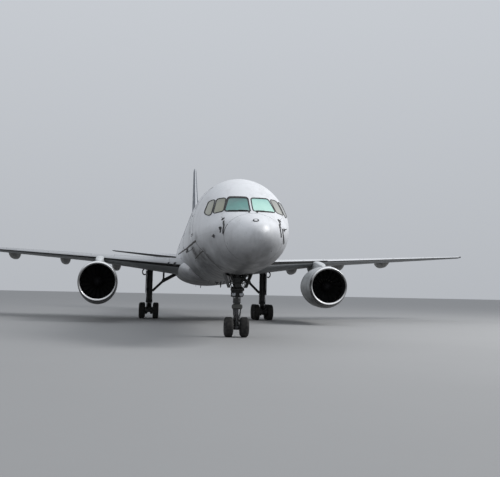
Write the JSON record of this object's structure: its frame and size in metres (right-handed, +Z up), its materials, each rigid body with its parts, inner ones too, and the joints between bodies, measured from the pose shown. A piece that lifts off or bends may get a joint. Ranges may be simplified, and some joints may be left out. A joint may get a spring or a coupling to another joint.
{
  "type": "half-scale twin-engine airliner",
  "caption": "Half-scale low-wing twin-engine airliner parked on its gear, with turning wheels, fans, control surfaces, cargo doors and engine sleeves.",
  "frame": {"origin": "on the ground under the middle of the aircraft's length and span", "axes": "+X towards the aircraft's left wing tip, +Y aft, +Z up"},
  "size_m": [19.025, 23.66, 6.78],
  "materials": {
    "white_paint": "gloss paint, weathered",
    "grey_paint": "satin grey paint",
    "bare_metal": "polished",
    "dark_metal": "dark satin metal",
    "gear_paint": "grimy grey enamel",
    "tyre_rubber": "worn rubber",
    "cockpit_glass": "coated, green tint"
  },
  "bodies": {
    "airframe": {"radome": "white_paint", "forward_fuselage": "white_paint", "cockpit_windows": "cockpit_glass", "centre_fuselage": "white_paint", "aft_fuselage": "white_paint", "tail_cone": "grey_paint", "belly_fairing": "white_paint", "wing_left": "white_paint", "wing_right": "white_paint", "flap_inboard_left": "grey_paint", "flap_inboard_right": "grey_paint", "flap_outboard_left": "grey_paint", "flap_outboard_right": "grey_paint", "stabiliser_left": "white_paint", "stabiliser_right": "white_paint", "fin": "white_paint", "intake_lip_left": "bare_metal", "intake_lip_right": "bare_metal", "fan_cowl_left": "grey_paint", "fan_cowl_right": "grey_paint", "exhaust_nozzle_left": "bare_metal", "exhaust_nozzle_right": "bare_metal", "core_left": "dark_metal", "core_right": "dark_metal", "pylon_left": "grey_paint", "pylon_right": "grey_paint", "nose_leg": "gear_paint", "nose_gear_door_left": "white_paint", "nose_gear_door_right": "white_paint", "main_leg_left": "gear_paint", "main_leg_right": "gear_paint", "bogie_beam_left": "gear_paint", "bogie_beam_right": "gear_paint", "side_brace_left": "gear_paint", "side_brace_right": "gear_paint", "main_gear_door_left": "white_paint", "main_gear_door_right": "white_paint"},
    "nose_strut": {"nose_steering": "gear_paint"},
    "nose_wheels": {"nose_wheels": "tyre_rubber"},
    "main_wheels_front_left": {"main_wheels_front_left": "tyre_rubber"},
    "main_wheels_rear_left": {"main_wheels_rear_left": "tyre_rubber"},
    "main_wheels_front_right": {"main_wheels_front_right": "tyre_rubber"},
    "main_wheels_rear_right": {"main_wheels_rear_right": "tyre_rubber"},
    "fan_left": {"fan_left": "dark_metal"},
    "fan_right": {"fan_right": "dark_metal"},
    "reverser_sleeve_left": {"reverser_sleeve_left": "grey_paint"},
    "reverser_sleeve_right": {"reverser_sleeve_right": "grey_paint"},
    "aileron_left": {"aileron_left": "grey_paint"},
    "aileron_right": {"aileron_right": "grey_paint"},
    "elevator_left": {"elevator_left": "white_paint"},
    "elevator_right": {"elevator_right": "white_paint"},
    "rudder": {"rudder": "white_paint"},
    "cargo_door_forward": {"cargo_door_forward": "white_paint"},
    "cargo_door_aft": {"cargo_door_aft": "white_paint"}
  },
  "joints": [
    {"name": "nose_steering", "type": "hinge", "parent": "airframe", "child": "nose_strut", "pos_m": [0, -8.945, 0.8], "axis": [0, 0, 1], "range_deg": [-65, 65]},
    {"name": "nose_wheels_spin", "type": "hinge", "parent": "nose_strut", "child": "nose_wheels", "pos_m": [0, -8.945, 0.194], "axis": [1, 0, 0], "continuous": true},
    {"name": "main_wheels_front_left_spin", "type": "hinge", "parent": "airframe", "child": "main_wheels_front_left", "pos_m": [1.83, -0.0855, 0.25014], "axis": [1, 0, 0], "continuous": true},
    {"name": "main_wheels_rear_left_spin", "type": "hinge", "parent": "airframe", "child": "main_wheels_rear_left", "pos_m": [1.83, 0.4855, 0.25014], "axis": [1, 0, 0], "continuous": true},
    {"name": "main_wheels_front_right_spin", "type": "hinge", "parent": "airframe", "child": "main_wheels_front_right", "pos_m": [-1.83, -0.0855, 0.25014], "axis": [1, 0, 0], "continuous": true},
    {"name": "main_wheels_rear_right_spin", "type": "hinge", "parent": "airframe", "child": "main_wheels_rear_right", "pos_m": [-1.83, 0.4855, 0.25014], "axis": [1, 0, 0], "continuous": true},
    {"name": "fan_left_spin", "type": "hinge", "parent": "airframe", "child": "fan_left", "pos_m": [3.142, -3.605, 1.09], "axis": [0.061, 0.9981, 0], "continuous": true},
    {"name": "fan_right_spin", "type": "hinge", "parent": "airframe", "child": "fan_right", "pos_m": [-3.142, -3.605, 1.09], "axis": [-0.061, 0.9981, 0], "continuous": true},
    {"name": "reverser_sleeve_left_slide", "type": "slide", "parent": "airframe", "child": "reverser_sleeve_left", "axis": [0.061, 0.9981, 0], "range_m": [0, 0.28]},
    {"name": "reverser_sleeve_right_slide", "type": "slide", "parent": "airframe", "child": "reverser_sleeve_right", "axis": [-0.061, 0.9981, 0], "range_m": [0, 0.28]},
    {"name": "aileron_left_hinge", "type": "hinge", "parent": "airframe", "child": "aileron_left", "pos_m": [7.025, 1.78959, 2.13682], "axis": [0.9491, 0.3059, 0.0754], "range_deg": [-21, 21]},
    {"name": "aileron_right_hinge", "type": "hinge", "parent": "airframe", "child": "aileron_right", "pos_m": [-7.025, 1.78959, 2.13682], "axis": [0.9491, -0.3059, -0.0754], "range_deg": [-21, 21]},
    {"name": "elevator_left_hinge", "type": "hinge", "parent": "airframe", "child": "elevator_left", "pos_m": [0.4925, 10.25092, 2.42293], "axis": [0.9382, 0.3312, 0.1005], "range_deg": [-20, 28]},
    {"name": "elevator_right_hinge", "type": "hinge", "parent": "airframe", "child": "elevator_right", "pos_m": [-0.4925, 10.25092, 2.42293], "axis": [0.9382, -0.3312, -0.1005], "range_deg": [-20, 28]},
    {"name": "rudder_hinge", "type": "hinge", "parent": "airframe", "child": "rudder", "pos_m": [0, 9.81735, 3.35], "axis": [0, 0.4214, 0.9069], "range_deg": [-26, 26]},
    {"name": "cargo_door_forward_hinge", "type": "hinge", "parent": "airframe", "child": "cargo_door_forward", "pos_m": [-0.89795, -6.53, 1.78719], "axis": [0, 1, 0], "range_deg": [0, 135]},
    {"name": "cargo_door_aft_hinge", "type": "hinge", "parent": "airframe", "child": "cargo_door_aft", "pos_m": [-0.89889, 4.02, 1.84153], "axis": [0, 1, 0], "range_deg": [0, 135]}
  ],
  "couplings": [
    {"joint": "aileron_right_hinge", "follows": "aileron_left_hinge", "ratio": -1},
    {"joint": "elevator_right_hinge", "follows": "elevator_left_hinge", "ratio": 1}
  ]
}
